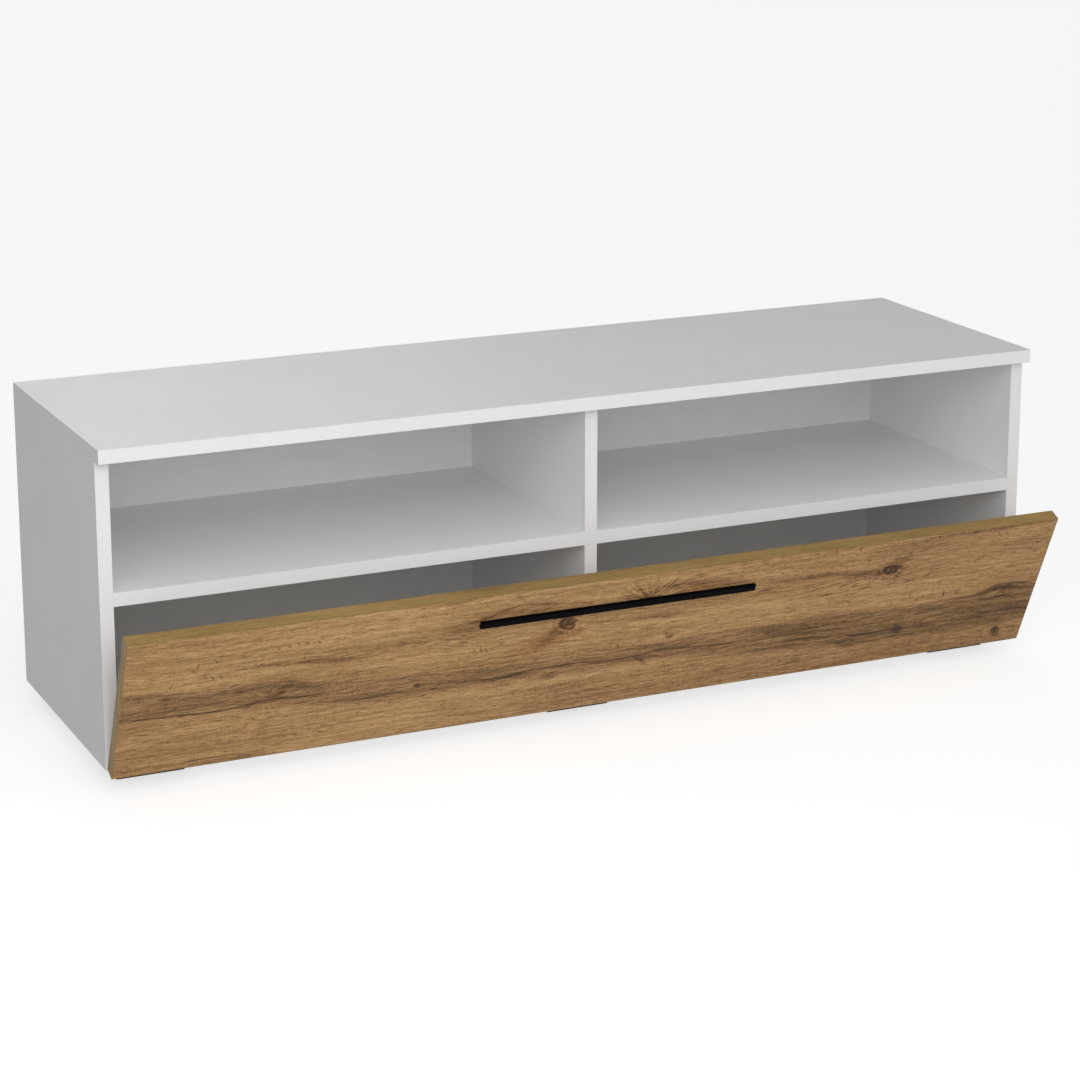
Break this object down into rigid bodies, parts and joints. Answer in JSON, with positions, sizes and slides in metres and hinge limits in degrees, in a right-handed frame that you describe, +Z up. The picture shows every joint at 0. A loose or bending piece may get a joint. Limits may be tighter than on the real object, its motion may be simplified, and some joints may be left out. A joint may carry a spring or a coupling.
{
  "type": "tv stand with drop-down flap",
  "caption": "Low white television stand with two open bays over compartments closed by one full-width wood-look flap with a slim black bar handle, on short black feet.",
  "frame": {"origin": "on the floor, under the middle of the overall box with the flap standing open as stored", "axes": "+X along the width to the right as seen from the front, -Y towards the front, +Z up"},
  "size_m": [1.35, 0.4882, 0.45],
  "materials": {
    "white_laminate": "white melamine laminate on particle board, satin",
    "white_hardboard": "white lacquered hardboard, satin",
    "beech": "raw turned beech",
    "zinc_steel": "zinc plated",
    "black_plastic": "moulded, matt",
    "oak_decor": "knotty oak decor on particle board, matt, grain along the width",
    "oak_edge_band": "olive-toned oak print edge band, satin",
    "black_metal": "powder coated, satin black"
  },
  "bodies": {
    "cabinet": {"top_board": "white_laminate", "left_side": "white_laminate", "right_side": "white_laminate", "bottom_board": "white_laminate", "shelf": "white_laminate", "upper_divider": "white_laminate", "lower_divider": "white_laminate", "back_panel": "white_hardboard", "back_nails": "zinc_steel", "upright_dowels": "beech", "level_dowels": "beech", "cam_housings": "zinc_steel", "cam_bolts": "zinc_steel", "foot_front_left": "black_plastic", "foot_front_centre": "black_plastic", "foot_front_right": "black_plastic", "foot_rear_left": "black_plastic", "foot_rear_centre": "black_plastic", "foot_rear_right": "black_plastic", "foot_screws": "zinc_steel", "base_leaf_left": "zinc_steel", "base_leaf_centre": "zinc_steel", "base_leaf_right": "zinc_steel", "hinge_pin_left": "zinc_steel", "hinge_pin_centre": "zinc_steel", "hinge_pin_right": "zinc_steel", "base_leaf_screws": "zinc_steel"},
    "flap": {"flap_panel": "oak_decor", "flap_top_band": "oak_edge_band", "flap_bottom_band": "oak_edge_band", "flap_left_band": "oak_edge_band", "flap_right_band": "oak_edge_band", "handle_bar": "black_metal", "handle_screws": "zinc_steel", "flap_leaf_left": "zinc_steel", "flap_leaf_centre": "zinc_steel", "flap_leaf_right": "zinc_steel", "flap_leaf_screws": "zinc_steel"}
  },
  "joints": [
    {"name": "flap_hinge", "type": "hinge", "parent": "cabinet", "child": "flap", "pos_m": [0, -0.14043, 0.032], "axis": [1, 0, 0], "range_deg": [-24, 66]}
  ]
}
